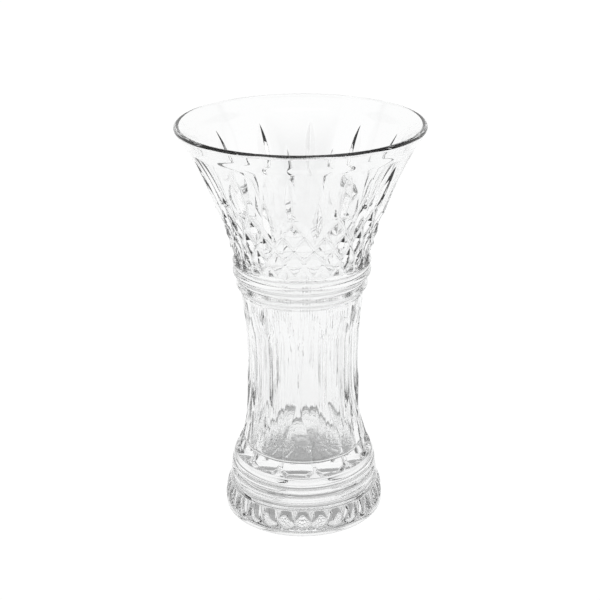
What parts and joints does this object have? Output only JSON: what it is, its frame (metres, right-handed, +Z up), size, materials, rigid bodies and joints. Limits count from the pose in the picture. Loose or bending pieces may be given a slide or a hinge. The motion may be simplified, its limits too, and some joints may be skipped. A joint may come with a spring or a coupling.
{
  "type": "cut crystal vase",
  "caption": "Clear cut crystal vase: gadrooned foot, fluted waisted column, ringed collar and a flared bowl cut with diamonds and pointed leaves under a plain rim.",
  "frame": {"origin": "centre of the ring that the vase stands on, at its lowest level", "axes": "+Z up along the vase's axis; -Y is the side that faces the viewer"},
  "size_m": [0.1772, 0.1772, 0.3],
  "materials": {
    "crystal": "clear colourless crystal, polished"
  },
  "bodies": {
    "root": {"foot": "crystal", "foot_step": "crystal", "column_base": "crystal", "column": "crystal", "collar": "crystal", "diamond_band": "crystal", "leaf_band": "crystal", "rim": "crystal"}
  },
  "joints": []
}
